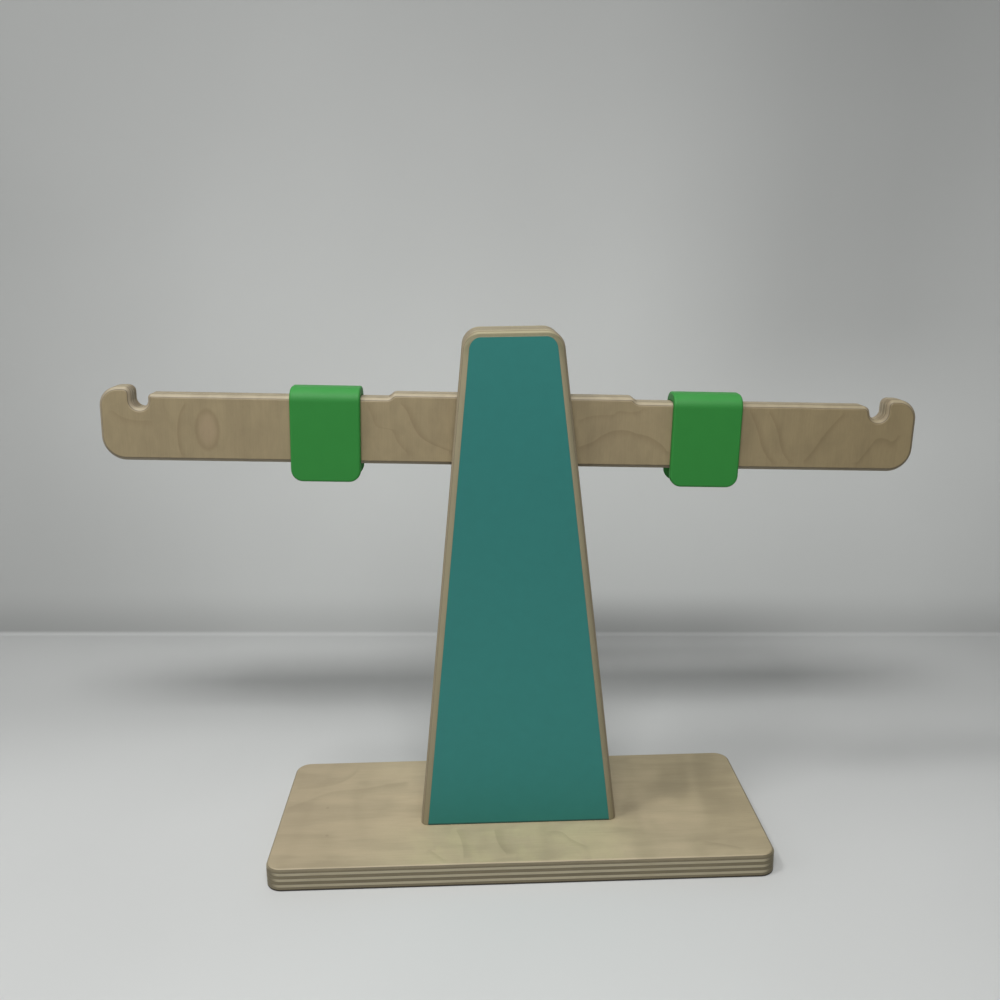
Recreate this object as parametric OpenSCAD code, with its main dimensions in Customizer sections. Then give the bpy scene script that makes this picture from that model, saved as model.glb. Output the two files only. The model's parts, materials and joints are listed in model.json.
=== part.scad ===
// A child's balance scale in birch plywood: a board, a tapering two-panel tower, and a beam that
// tilts in a window of the tower, with a hook notch at each end and two soft sliding riders.
// The origin is the middle of the board's underside. X runs along the beam, Y goes to the back.

/* [Base board] */
// Width of the base board
base_w = 250; // [200:1:320]
// Depth of the base board
base_d = 104; // [80:1:150]
// Thickness of the base board
base_t = 12; // [9:0.5:18]
// Radius of the board's corners, seen from above
base_corner_r = 8; // [4:0.5:20]
// Radius of the board's rounded edges
base_edge_r = 1.5; // [0.5:0.1:3]

/* [Tower] */
// How far the tower stands above the pivot
tower_above_pivot = 38.3; // [30:0.1:80]
// Width of the tower at its foot
tower_foot_w = 101.2; // [80:0.2:130]
// Width of the tower at its top, from side line to side line
tower_top_w = 46.6; // [40:0.2:70]
// Radius of the two top corners
tower_corner_r = 9; // [5:0.5:15]
// Thickness of the front and rear panels
panel_t = 10.4; // [9:0.1:14]
// Radius of the rounded outer edge of a panel
panel_edge_r = 4; // [1:0.1:4.5]
// Thickness of the coloured facing sheet
facing_t = 0.5; // [0.3:0.1:1]

/* [Beam] */
// Length of the beam
beam_l = 391.6; // [340:0.2:440]
// Height of the arms that the riders slide on
arm_h = 32.1; // [27:0.1:38]
// Thickness of the beam
beam_t = 12; // [10:0.5:15]
// Radius of the beam's rounded edges
beam_edge_r = 1.9; // [0.5:0.1:1.9]
// Radius of the beam's lower end corners
foot_corner_r = 11.5; // [6:0.5:15]
// How far the raised middle stands above the arms
shoulder_rise = 2.2; // [1:0.1:4]
// Length of the raised middle, without its ramps
shoulder_l = 111.5; // [90:0.5:125]
// Length of the ramp at each end of the raised middle
ramp_l = 5; // [4.4:0.1:9]

/* [Hooks] */
// How far the hooks stand above the arms
hook_rise = 3.2; // [1:0.1:6]
// Radius of a hook's outer upper corner
hook_corner_r = 9.5; // [5:0.1:10]
// Radius of a hook's tip beside the notch
hook_tip_r = 3.2; // [2:0.1:3.5]
// Distance of the notch's middle from the beam's end
notch_from_end = 19; // [17:0.1:24]
// Radius of the notch
notch_r = 3.9; // [2.8:0.1:4.2]
// Depth of the notch below the arm's top
notch_depth = 6.9; // [5:0.1:9]
// Radius of the left notch's inner lip
left_lip_r = 2; // [2:0.1:3.2]
// Radius of the right notch's inner lip
right_lip_r = 4; // [2:0.1:5]

/* [Pivot] */
// Height of the pivot above the board's upper face
pivot_rise = 213.8; // [150:0.1:260]
// Height of the pivot above the beam's lower edge
pivot_h = 27.4; // [23:0.1:27.5]
// Tilt of the resting beam, its right end low
rest_tilt = 2.05; // [0:0.05:4]
// Tilt at which the beam would meet the spacers
tilt_limit = 12; // [8:0.5:15]
// Diameter of the pivot pin
pin_d = 5; // [4:0.5:6]
// Depth of the pin's blind bore in each panel
pin_seat = 6.5; // [4:0.1:7.5]
// Outer diameter of the bushes
bush_d = 7.5; // [7:0.5:9]
// Diameter of a bush's flange
flange_d = 11; // [10:0.5:13]
// Thickness of a bush's flange
flange_t = 0.5; // [0.4:0.1:0.8]

/* [Riders] */
// Length of a rider along the beam
rider_l = 33.3; // [26:0.2:40]
// Thickness of a rider's flaps
rider_wall = 3; // [2:0.1:4]
// Thickness of a rider's bridge over the beam
rider_bridge = 4.2; // [3:0.1:5]
// How far the flaps hang below the beam
flap_drop = 8.4; // [4:0.1:14]
// Radius of the flaps' lower corners
flap_corner_r = 5.7; // [3:0.1:8]
// Radius of the bridge's long edges
bridge_edge_r = 6.6; // [2:0.1:7.4]
// Radius of a rider's other edges
rider_edge_r = 1.1; // [0.5:0.1:1.4]
// Distance of the left rider's middle from the pivot
left_rider_at = 89.3; // [82:0.1:150]
// Distance of the right rider's middle from the pivot
right_rider_at = 93.1; // [82:0.1:150]

/* [Dowels and screws] */
// Diameter of the dowels
dowel_d = 6; // [5:0.5:8]
// Depth to which a dowel enters a panel or the board
dowel_seat = 5.2; // [4:0.1:6.5]
// Length of the base dowels above the board
base_dowel_rise = 16; // [10:0.5:20]
// Shank diameter of the base screws
screw_d = 4; // [3:0.5:4.5]
// Length of the base screws with their heads
screw_l = 38; // [30:1:50]
// Head diameter of the base screws
screw_head_d = 7.6; // [7:0.1:9]
// How deep the screw heads lie below the board's underside
head_sink = 0.6; // [0.3:0.1:1.5]
// Width of the recess's arms in a screw head
recess_w = 1.1; // [0.8:0.1:1.4]

/* [Fits] */
// Radial clearance of the bushes on the pin
run_gap = 0.05; // [0.02:0.01:0.1]
// Radial clearance of seated pins, dowels, bushes and screws
seat_gap = 0.05; // [0.02:0.01:0.1]
// Clearance between other faces that move past each other
slide_gap = 0.3; // [0.2:0.05:0.5]
// Clearance left at the end of a blind bore
end_gap = 0.3; // [0.2:0.05:0.6]

/* [Hidden] */

$fn = 48;
hull_fn = 32;
overrun = 1;

// The window between the panels is as wide as the beam, its flanges and their side play
slot_w = beam_t + 2 * flange_t + 2 * slide_gap;
panel_y = slot_w / 2 + panel_t / 2;
tower_y = slot_w / 2 + panel_t;
tower_h = pivot_rise + tower_above_pivot;
tower_top_z = base_t + tower_h;

// Slope of the tower's side, and how far a line parallel to it moves along X for each unit inwards
side_slope = (tower_foot_w - tower_top_w) / 2 / tower_h;
side_stretch = sqrt(1 + side_slope * side_slope);

// Heights of the beam's outline, and of the pivot
hook_h = arm_h + hook_rise;
shoulder_h = arm_h + shoulder_rise;
pivot_z = base_t + pivot_rise;

// Both arcs of a ramp have this radius and turn through this angle
ramp_r = (ramp_l * ramp_l + shoulder_rise * shoulder_rise) / (4 * shoulder_rise);
ramp_turn = asin(ramp_l / (2 * ramp_r));

// The notch's middle, and the wall between the notch and its hook
notch_u = beam_l / 2 - notch_from_end;
notch_h = arm_h - notch_depth + notch_r;
hook_wall_u = notch_u + notch_r;

// The spacers end where the fully tilted beam would meet them, less the clearance
window_top_z = pivot_z + (shoulder_h - pivot_h) / cos(tilt_limit)
             + tower_half_w(pivot_z) * tan(tilt_limit) + slide_gap;
window_bottom_z = pivot_z - pivot_h / cos(tilt_limit)
                - tower_half_w(pivot_z - pivot_h) * tan(tilt_limit) - slide_gap;

// A bush fills half of the beam's bore, less a small gap between the two
bush_l = beam_t / 2 - slide_gap / 2;

// A rider's inner and outer width, and the height of its top above the beam's lower edge
rider_inner_w = beam_t + 2 * slide_gap;
rider_outer_w = rider_inner_w + 2 * rider_wall;
rider_top_h = arm_h + slide_gap + rider_bridge;

// Places of the dowels and screws, as shares of the piece that holds them
dowel_row_shares = [0.14, 0.86];
dowel_side_share = 0.45;
base_dowel_share = 0.3;
screw_side_share = 0.72;
dowel_chamfer = dowel_d / 8;
pin_chamfer = pin_d / 10;

// The screw's head is a cone as high as a right-angled countersink, with a thin rim below it
head_rim = screw_head_d / 20;
head_h = (screw_head_d - screw_d) / 2;
screw_point = screw_d * 1.5;
recess_arm = screw_head_d * 0.6;
recess_depth = head_h * 0.9;

// Half of the tower's width at a height above the floor
function tower_half_w(z) = tower_foot_w / 2 - side_slope * (z - base_t);

// Points of an arc about c from angle a0 to a1, one for each 12 degrees or so
function arc(c, r, a0, a1) =
    let (steps = max(3, ceil(abs(a1 - a0) / 12)))
    [for (i = [0:steps]) let (a = a0 + (a1 - a0) * i / steps) c + r * [cos(a), sin(a)]];

// The angle at which the lip's arc meets the notch's arc, 0 where a small lip ends above the notch's middle
function lip_turn(lip_r) = asin(max(0, notch_h - arm_h + lip_r) / (notch_r + lip_r));

// One half of the beam's outline, drawn inset by d, from its lower edge round the end to its middle
function half_outline(lip_r, d) =
    let (
        turn = lip_turn(lip_r),
        lip_u = notch_u - (notch_r + lip_r) * cos(turn)
    )
    concat(
        arc([beam_l / 2 - foot_corner_r, foot_corner_r], foot_corner_r - d, -90, 0),
        arc([beam_l / 2 - hook_corner_r, hook_h - hook_corner_r], hook_corner_r - d, 0, 90),
        arc([hook_wall_u + hook_tip_r, hook_h - hook_tip_r], hook_tip_r - d, 90, 180),
        arc([notch_u, notch_h], notch_r + d, 0, turn - 180),
        arc([lip_u, arm_h - lip_r], lip_r - d, turn, 90),
        arc([shoulder_l / 2 + ramp_l, arm_h + ramp_r], ramp_r + d, -90, -90 - ramp_turn),
        arc([shoulder_l / 2, shoulder_h - ramp_r], ramp_r - d, 90 - ramp_turn, 90)
    );

function mirrored(points) = [for (i = [len(points) - 1:-1:0]) [-points[i][0], points[i][1]]];

function beam_outline(d) = concat(half_outline(right_lip_r, d), mirrored(half_outline(left_lip_r, d)));

// Depth and inset of each ring of points across a board with rounded edges
function edge_rings(t, r, steps) = concat(
    [for (i = [0:steps]) let (a = 90 * i / steps) [-t / 2 + r * (1 - cos(a)), r * (1 - sin(a))]],
    [for (i = [steps:-1:0]) let (a = 90 * i / steps) [t / 2 - r * (1 - cos(a)), r * (1 - sin(a))]]
);

// Places children in the beam's own frame, tilted on the pivot: its lower edge at Z = 0, its middle at X = 0
module on_beam() {
    translate([0, 0, pivot_z]) rotate([0, rest_tilt, 0]) translate([0, 0, -pivot_h]) children();
}

// A cylinder along Y, centred on the origin
module rod_y(d, l) {
    rotate([90, 0, 0]) cylinder(d = d, h = l, center = true);
}

// A pin of length l along Z from Z = 0, with chamfered ends
module chamfered_pin(d, l, chamfer) {
    rotate_extrude() polygon([
        [0, 0], [d / 2 - chamfer, 0], [d / 2, chamfer],
        [d / 2, l - chamfer], [d / 2 - chamfer, l], [0, l]
    ]);
}

// A disc of radius r between z0 and z1 whose lower and upper edges are rounded by low_r and top_r
module soft_disc(r, z0, z1, low_r, top_r) {
    rotate_extrude($fn = hull_fn) polygon(concat(
        [[0, z0]],
        low_r > 0 ? arc([r - low_r, z0 + low_r], low_r, -90, 0) : [[r, z0]],
        top_r > 0 ? arc([r - top_r, z1 - top_r], top_r, 0, 90) : [[r, z1]],
        [[0, z1]]
    ));
}

// The four places, two of them below the floor, where discs of radius r inset by d span the tower's outline
function tower_corners(r, d) = [
    for (s = [-1, 1]) for (z = [tower_top_z - d - r, -2 * tower_corner_r])
        [s * (tower_half_w(z) - (d + r) * side_stretch), z]
];

// Keeps only what stands above the board
module above_board() {
    intersection() {
        children();
        translate([-tower_foot_w, -tower_y - overrun, base_t])
            cube([2 * tower_foot_w, 2 * (tower_y + overrun), tower_h + overrun]);
    }
}

// A slab of the tower's outline, inset by d, from the depth y0 to y1, with its edge at y0 rounded
module tower_slab(y0, y1, d, edge_r) {
    r = tower_corner_r - d;
    above_board() hull() for (c = tower_corners(r, d))
        translate([c[0], 0, c[1]]) rotate([-90, 0, 0]) soft_disc(r, y0, y1, edge_r, 0);
}

// Places [x, z] of the dowels that cross the tower: four in the bottom spacer and two in the top one
bottom_spacer_h = window_bottom_z - base_t;
top_spacer_h = tower_top_z - window_top_z;
tower_dowel_places = concat(
    [for (s = [-1, 1]) for (share = dowel_row_shares)
        let (z = base_t + bottom_spacer_h * share) [s * tower_half_w(z) * dowel_side_share, z]],
    [for (s = [-1, 1])
        let (z = window_top_z + top_spacer_h / 2) [s * tower_half_w(z) * dowel_side_share, z]]
);

module tower_dowel_bores() {
    for (p = tower_dowel_places)
        translate([p[0], 0, p[1]]) rod_y(dowel_d + 2 * seat_gap, slot_w + 2 * (dowel_seat + end_gap));
}

// Bores for the base dowels, which stand on the middle line of the tower
module base_dowel_bores() {
    for (s = [-1, 1])
        translate([s * tower_foot_w * base_dowel_share, 0, base_t - dowel_seat - end_gap])
            cylinder(d = dowel_d + 2 * seat_gap, h = base_dowel_rise + dowel_seat + 2 * end_gap);
}

// The places of the base screws, one at each end of each panel's foot
screw_places = [
    for (s = [-1, 1]) for (t = [-1, 1]) [s * tower_foot_w / 2 * screw_side_share, t * panel_y, head_sink]
];

// A countersunk screw along Z with its head at Z = 0, made wider and longer all round by gap
module screw_body(gap) {
    rotate_extrude() polygon([
        [0, 0],
        [screw_head_d / 2 + gap, 0],
        [screw_head_d / 2 + gap, head_rim],
        [screw_d / 2 + gap, head_rim + head_h],
        [screw_d / 2 + gap, screw_l - screw_point],
        [0, screw_l + gap]
    ]);
}

module screw_bores() {
    for (p = screw_places) translate(p) {
        screw_body(seat_gap);
        translate([0, 0, -head_sink - overrun])
            cylinder(d = screw_head_d + 2 * seat_gap, h = head_sink + overrun);
    }
}

module base_board() {
    color("burlywood") difference() {
        hull() for (s = [-1, 1]) for (t = [-1, 1])
            translate([s * (base_w / 2 - base_corner_r), t * (base_d / 2 - base_corner_r), 0])
                soft_disc(base_corner_r, 0, base_t, base_edge_r, base_edge_r);
        screw_bores();
        base_dowel_bores();
    }
}

// A facing sheet, flush in the front face of the front panel
module facing() {
    tower_slab(-tower_y, facing_t - tower_y, panel_edge_r, 0);
}

// The plywood of a panel, drawn as the front one
module panel() {
    difference() {
        tower_slab(-tower_y, -slot_w / 2, 0, panel_edge_r);
        tower_slab(-tower_y - overrun, facing_t - tower_y, panel_edge_r, 0);
        tower_dowel_bores();
        translate([0, 0, pivot_z]) rod_y(pin_d + 2 * seat_gap, slot_w + 2 * (pin_seat + end_gap));
        screw_bores();
    }
}

module front_panel() {
    color("tan") panel();
}

module rear_panel() {
    color("tan") mirror([0, 1, 0]) panel();
}

module front_facing() {
    color("teal") facing();
}

module rear_facing() {
    color("teal") mirror([0, 1, 0]) facing();
}

module top_spacer() {
    color("wheat") difference() {
        tower_slab(-slot_w / 2, slot_w / 2, 0, 0);
        translate([-tower_foot_w, -slot_w, 0]) cube([2 * tower_foot_w, 2 * slot_w, window_top_z]);
        tower_dowel_bores();
    }
}

module bottom_spacer() {
    color("wheat") difference() {
        tower_slab(-slot_w / 2, slot_w / 2, 0, 0);
        translate([-tower_foot_w, -slot_w, window_bottom_z])
            cube([2 * tower_foot_w, 2 * slot_w, tower_top_z]);
        tower_dowel_bores();
        base_dowel_bores();
    }
}

module tower_dowels() {
    length = slot_w + 2 * dowel_seat;
    color("peru") for (p = tower_dowel_places)
        translate([p[0], length / 2, p[1]]) rotate([90, 0, 0])
            chamfered_pin(dowel_d, length, dowel_chamfer);
}

module base_dowels() {
    color("peru") for (s = [-1, 1])
        translate([s * tower_foot_w * base_dowel_share, 0, base_t - dowel_seat])
            chamfered_pin(dowel_d, base_dowel_rise + dowel_seat, dowel_chamfer);
}

module base_screws() {
    color("silver") for (p = screw_places) translate(p) difference() {
        screw_body(0);
        for (a = [0, 90]) rotate([0, 0, a]) translate([-recess_arm / 2, -recess_w / 2, -overrun])
            cube([recess_arm, recess_w, overrun + recess_depth]);
    }
}

module pivot_pin() {
    length = slot_w + 2 * pin_seat;
    color("silver") translate([0, length / 2, pivot_z]) rotate([90, 0, 0])
        chamfered_pin(pin_d, length, pin_chamfer);
}

// The beam: its outline is repeated in rings across the thickness, drawn in at both faces
module beam() {
    rings = edge_rings(beam_t, beam_edge_r, 4);
    n = len(beam_outline(0));
    points = [for (ring = rings) for (p = beam_outline(ring[1])) [p[0], ring[0], p[1]]];
    sides = [
        for (k = [0:len(rings) - 2]) for (i = [0:n - 1])
            [k * n + i, k * n + (i + 1) % n, (k + 1) * n + (i + 1) % n, (k + 1) * n + i]
    ];
    front = [for (i = [n - 1:-1:0]) i];
    back = [for (i = [0:n - 1]) (len(rings) - 1) * n + i];
    color("tan") on_beam() difference() {
        polyhedron(points, concat(sides, [front, back]));
        translate([0, 0, pivot_h]) rod_y(bush_d + 2 * seat_gap, beam_t + 2 * overrun);
    }
}

// A flanged bush, drawn as the front one
module bush() {
    on_beam() translate([0, -beam_t / 2 - flange_t, pivot_h]) rotate([-90, 0, 0]) difference() {
        union() {
            cylinder(d = flange_d, h = flange_t);
            cylinder(d = bush_d, h = flange_t + bush_l);
        }
        translate([0, 0, -overrun]) cylinder(d = pin_d + 2 * run_gap, h = bush_l + flange_t + 2 * overrun);
    }
}

module front_bush() {
    color("white") bush();
}

module rear_bush() {
    color("white") mirror([0, 1, 0]) bush();
}

// A saddle open at the bottom, with soft outer edges
module rider() {
    color("limegreen") difference() {
        hull() {
            for (s = [-1, 1]) translate([s * (rider_l / 2 - flap_corner_r), 0, flap_corner_r - flap_drop])
                rotate([-90, 0, 0]) soft_disc(
                    flap_corner_r, -rider_outer_w / 2, rider_outer_w / 2, rider_edge_r, rider_edge_r);
            for (t = [-1, 1])
                translate([0, t * (rider_outer_w / 2 - bridge_edge_r), rider_top_h - bridge_edge_r])
                    rotate([0, 90, 0]) soft_disc(
                        bridge_edge_r, -rider_l / 2, rider_l / 2, rider_edge_r, rider_edge_r);
        }
        translate([-rider_l, -rider_inner_w / 2, -flap_drop - overrun])
            cube([2 * rider_l, rider_inner_w, flap_drop + overrun + arm_h + slide_gap]);
    }
}

module left_rider() {
    on_beam() translate([-left_rider_at, 0, 0]) rider();
}

module right_rider() {
    on_beam() translate([right_rider_at, 0, 0]) rider();
}

base_board();
front_panel();
rear_panel();
front_facing();
rear_facing();
top_spacer();
bottom_spacer();
tower_dowels();
base_dowels();
base_screws();
pivot_pin();
beam();
front_bush();
rear_bush();
left_rider();
right_rider();
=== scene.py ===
# A child's wooden balance scale: the finished look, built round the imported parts.
# Places are in the parts' own frame. Lengths are in metres, and in mm where a note says so.
import json
import math

import bmesh
import bpy
from mathutils import Matrix, Vector


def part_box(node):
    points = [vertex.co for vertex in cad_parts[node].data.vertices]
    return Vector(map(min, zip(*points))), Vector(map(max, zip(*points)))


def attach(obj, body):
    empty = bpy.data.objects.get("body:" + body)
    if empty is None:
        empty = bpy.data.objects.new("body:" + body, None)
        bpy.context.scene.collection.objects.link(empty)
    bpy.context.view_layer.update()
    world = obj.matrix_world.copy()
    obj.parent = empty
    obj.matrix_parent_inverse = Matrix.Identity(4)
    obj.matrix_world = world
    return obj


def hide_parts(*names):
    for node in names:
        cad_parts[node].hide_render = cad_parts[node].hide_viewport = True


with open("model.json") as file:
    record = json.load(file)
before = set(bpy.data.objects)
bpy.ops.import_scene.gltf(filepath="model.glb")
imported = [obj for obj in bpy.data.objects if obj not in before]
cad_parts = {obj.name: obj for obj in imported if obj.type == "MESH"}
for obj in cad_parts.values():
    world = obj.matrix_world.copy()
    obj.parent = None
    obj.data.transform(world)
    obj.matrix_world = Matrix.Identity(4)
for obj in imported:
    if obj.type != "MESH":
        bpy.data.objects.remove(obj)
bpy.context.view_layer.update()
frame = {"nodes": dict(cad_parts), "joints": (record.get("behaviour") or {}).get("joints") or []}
print("loaded", len(frame["nodes"]), "parts")

# The beam's own frame at rest: X along it from its middle, Z up from its lower edge
mm = 0.001
pivotHeight = 27.4      # mm, of the pivot above the beam's lower edge
joints = {joint["name"]: joint for joint in frame["joints"]}
pivot = Vector(joints["beam_tilt"]["pos_m"])
slideAxis = joints["left_rider_slide"]["axis"]
tilt = math.atan2(-slideAxis[2], slideAxis[0])
beamPlace = (Matrix.Translation(pivot) @ Matrix.Rotation(tilt, 4, "Y")
             @ Matrix.Translation((0, 0, -pivotHeight * mm)))

scene = bpy.context.scene
scene.view_settings.view_transform = "Standard"


# Camera and light

cameraSetup = {
    "place": (-0.0198, -0.48, 0.3001),
    "yaw": 0.0269,      # radians, to the right
    "pitch": 0.2446,    # downwards
    "roll": 0.0145,     # clockwise
    "lens": 36.066,     # mm, on a 36 mm sensor
}


def makeCamera(setup):
    turned = (Matrix.Rotation(-setup["yaw"], 4, "Z")
              @ Matrix.Rotation(math.pi / 2 - setup["pitch"], 4, "X")
              @ Matrix.Rotation(-setup["roll"], 4, "Z"))
    camera = bpy.data.objects.new("viewCamera", bpy.data.cameras.new("viewCamera"))
    camera.data.sensor_width = 36
    camera.data.lens = setup["lens"]
    camera.data.clip_start = 0.01
    camera.matrix_world = Matrix.Translation(setup["place"]) @ turned
    scene.collection.objects.link(camera)
    scene.camera = camera


makeCamera(cameraSetup)

# Each lamp is aimed at the middle of the scale, from so many degrees round and up.
# Round counts from the front, positive to the left.
lampTarget = Vector((0, 0, 0.13))
lamps = {
    "frontLamp": {"round": 3, "up": 51.6, "away": 0.95, "size": (0.4, 0.12), "power": 5.9},
    "sideLamp": {"round": 60, "up": 58, "away": 1.3, "size": (0.2, 0.2), "power": 4.0},
    "leftPanel": {"round": 68, "up": 22, "away": 0.95, "size": (0.7, 0.7), "power": 1.2},
    "ceilingLamp": {"round": 0, "up": 90, "away": 1.3, "size": (1.2, 0.8), "power": 0.8},
    "backFill": {"round": 165, "up": 28, "away": 1.0, "size": (0.9, 0.5), "power": 0.8},
}


def makeLamp(name, setup):
    around, up = math.radians(setup["round"]), math.radians(setup["up"])
    towards = Vector((-math.sin(around) * math.cos(up), -math.cos(around) * math.cos(up),
                      math.sin(up)))
    light = bpy.data.lights.new(name, "AREA")
    light.shape = "RECTANGLE"
    light.size, light.size_y = setup["size"]
    light.energy = setup["power"]
    lamp = bpy.data.objects.new(name, light)
    lamp.location = lampTarget + towards * setup["away"]
    lamp.rotation_mode = "QUATERNION"
    lamp.rotation_quaternion = (-towards).to_track_quat("-Z", "Y")
    scene.collection.objects.link(lamp)


for lampName, lampSetup in lamps.items():
    makeLamp(lampName, lampSetup)
print("camera and", len(lamps), "lamps placed")


# Node helpers

class NodeTree:
    # A short way to write a node tree. Every value may be a number, a colour or a socket.

    def __init__(self, tree):
        self.tree = tree

    def add(self, kind, inputs=None, **settings):
        node = self.tree.nodes.new("ShaderNode" + kind)
        for key, value in settings.items():
            setattr(node, key, value)
        for key, value in (inputs or {}).items():
            self.feed(node.inputs[key], value)
        return node

    def feed(self, socket, value):
        if isinstance(value, bpy.types.NodeSocket):
            self.tree.links.new(value, socket)
        elif value is not None:
            socket.default_value = value

    def math(self, operation, a, b=None, c=None, clamp=False):
        node = self.add("Math", operation=operation, use_clamp=clamp)
        for socket, value in zip(node.inputs, (a, b, c)):
            self.feed(socket, value)
        return node.outputs[0]

    def chain(self, operation, values, clamp=False):
        total = values[0]
        for value in values[1:]:
            total = self.math(operation, total, value, clamp=clamp)
        return total

    def plus(self, *values, clamp=False):
        return self.chain("ADD", values, clamp)

    def times(self, *values, clamp=False):
        return self.chain("MULTIPLY", values, clamp)

    def most(self, *values):
        return self.chain("MAXIMUM", values)

    def minus(self, a, b):
        return self.math("SUBTRACT", a, b)

    def over(self, a, b):
        return self.math("DIVIDE", a, b)

    def size(self, value):
        return self.math("ABSOLUTE", value)

    def length(self, a, b):
        return self.math("SQRT", self.plus(self.times(a, a), self.times(b, b)))

    def mixColour(self, share, a, b, blend="MIX"):
        node = self.add("Mix", data_type="RGBA", blend_type=blend)
        for socket, value in zip((node.inputs[0], node.inputs[6], node.inputs[7]), (share, a, b)):
            self.feed(socket, value)
        return node.outputs[2]

    def tint(self, colour, by, share=1.0):
        return self.mixColour(share, colour, by, "MULTIPLY")

    def smooth(self, value, low, high, toLow=0.0, toHigh=1.0, shape="SMOOTHSTEP"):
        node = self.add("MapRange", interpolation_type=shape)
        for socket, number in zip(node.inputs[:5], (value, low, high, toLow, toHigh)):
            self.feed(socket, number)
        return node.outputs[0]

    def noise(self, vector, scale, detail=2.0, roughness=0.5, distortion=0.0):
        return self.add("TexNoise", {"Vector": vector, "Scale": scale, "Detail": detail,
                                     "Roughness": roughness, "Distortion": distortion}).outputs[0]

    def stretch(self, vector, scale):
        return self.add("Mapping", {"Vector": vector, "Scale": scale}).outputs[0]

    def split(self, vector):
        return self.add("SeparateXYZ", {0: vector}).outputs

    def join(self, x, y, z):
        return self.add("CombineXYZ", {0: x, 1: y, 2: z}).outputs[0]

    def group(self, name, inputs):
        return self.add("Group", inputs, node_tree=bpy.data.node_groups[name]).outputs

    def bump(self, strength, distance, height):
        return self.add("Bump", {"Strength": strength, "Distance": distance,
                                 "Height": height}).outputs[0]


def newGroup(name, inputs, outputs):
    # inputs and outputs are (name, kind) pairs, an input with its usual value as a third entry
    tree = bpy.data.node_groups.new(name, "ShaderNodeTree")
    for entry in inputs:
        socket = tree.interface.new_socket(entry[0], in_out="INPUT",
                                           socket_type="NodeSocket" + entry[1])
        if len(entry) > 2:
            socket.default_value = entry[2]
    for entry in outputs:
        tree.interface.new_socket(entry[0], in_out="OUTPUT", socket_type="NodeSocket" + entry[1])
    given = tree.nodes.new("NodeGroupInput").outputs
    return NodeTree(tree), given, tree.nodes.new("NodeGroupOutput").inputs


def newMaterial(name):
    material = bpy.data.materials.new(name)
    material.use_nodes = True
    material.node_tree.nodes.clear()
    nodes = NodeTree(material.node_tree)
    shader = nodes.add("BsdfPrincipled")
    nodes.add("OutputMaterial", {"Surface": shader.outputs[0]})
    return material, nodes, shader.inputs


def coordinates(nodes):
    socket = nodes.add("TexCoord").outputs
    return socket["Object"], socket["Normal"]


# Stage: a pale floor that folds softly up into a wall, both seen from their front only

room = {"colour": (0.97, 0.99, 1, 1), "seen": 0.42,         # where the camera or gloss sees it
        "fillColour": (0.86, 0.93, 1, 1), "fill": 0.06}     # the light it gives

stageSetup = {
    "foldY": 0.275,
    "wallTurn": 0.067,      # how far the wall comes forward to the right, per metre
    "foldRadius": 0.003,
    "front": -1.6,
    "halfWidth": 2.2,
    "wallTop": 1.6,
    "floorColour": (0.675, 0.683, 0.672, 1),
    "wallColour": (0.67, 0.68, 0.665, 1),
    # painted shade on the wall: shares taken off at its left and at its right
    "leftWallShade": 0.25,       # shares taken off the wall on the left and on the right
    "rightWallShade": 0.2,
    # painted shade along the fold on the right
    "foldShadeDark": 0.28,      # off both along the fold on the right
    # the beam's painted shadow on the floor
    "beamShadowDark": 0.11,     # off the floor where the beam's shadow falls
    "cloud": 0.045,
}


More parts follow.
